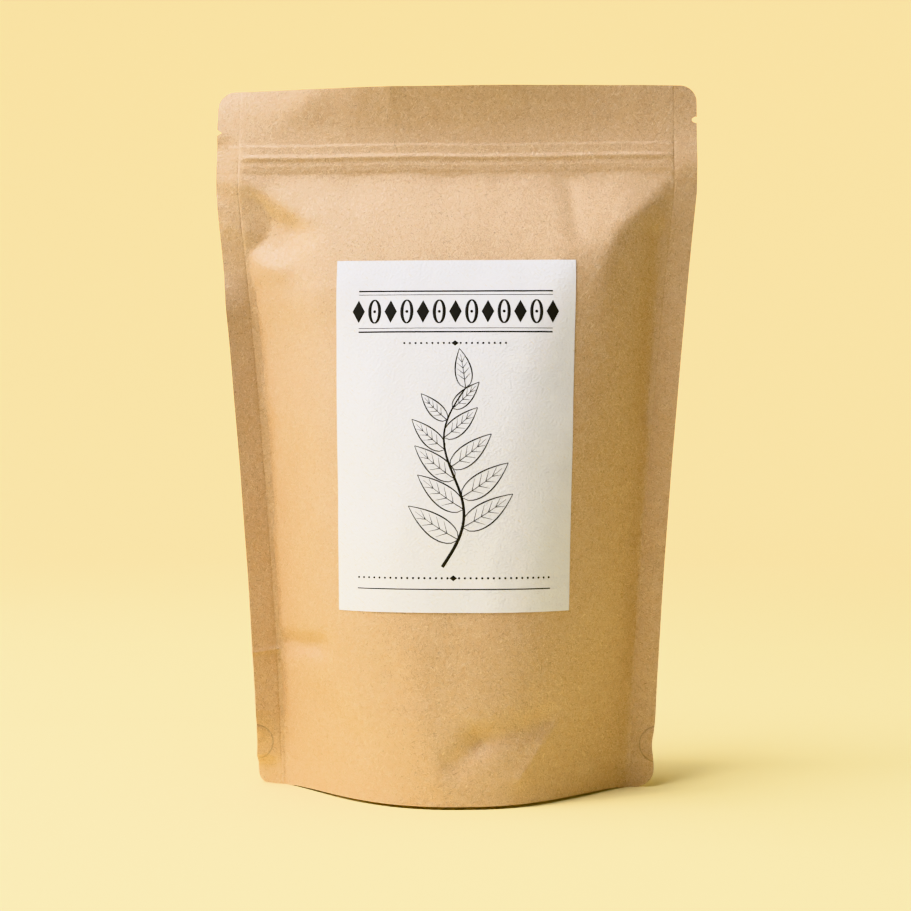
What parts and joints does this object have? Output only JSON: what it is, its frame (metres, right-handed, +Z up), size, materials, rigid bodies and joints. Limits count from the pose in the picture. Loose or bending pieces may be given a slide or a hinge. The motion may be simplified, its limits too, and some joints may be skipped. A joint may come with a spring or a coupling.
{
  "type": "filled stand-up pouch with a label",
  "caption": "Shut, filled kraft paper stand-up pouch with a zip, a flat top flap, flat side seals, a bottom gusset and a plain white paper label on its front.",
  "frame": {"origin": "centre of the footprint, on the surface that the pouch stands on", "axes": "+Z up towards the flap, +X across the width, -Y out of the labelled front"},
  "size_m": [0.23, 0.1164, 0.334],
  "materials": {
    "kraft_paper": "matte brown kraft paper with fine fibres",
    "label_paper": "matte white paper with a slight tooth",
    "label_ink": "matte black print"
  },
  "bodies": {
    "root": {"pouch": "kraft_paper", "label": "label_paper"}
  },
  "joints": []
}
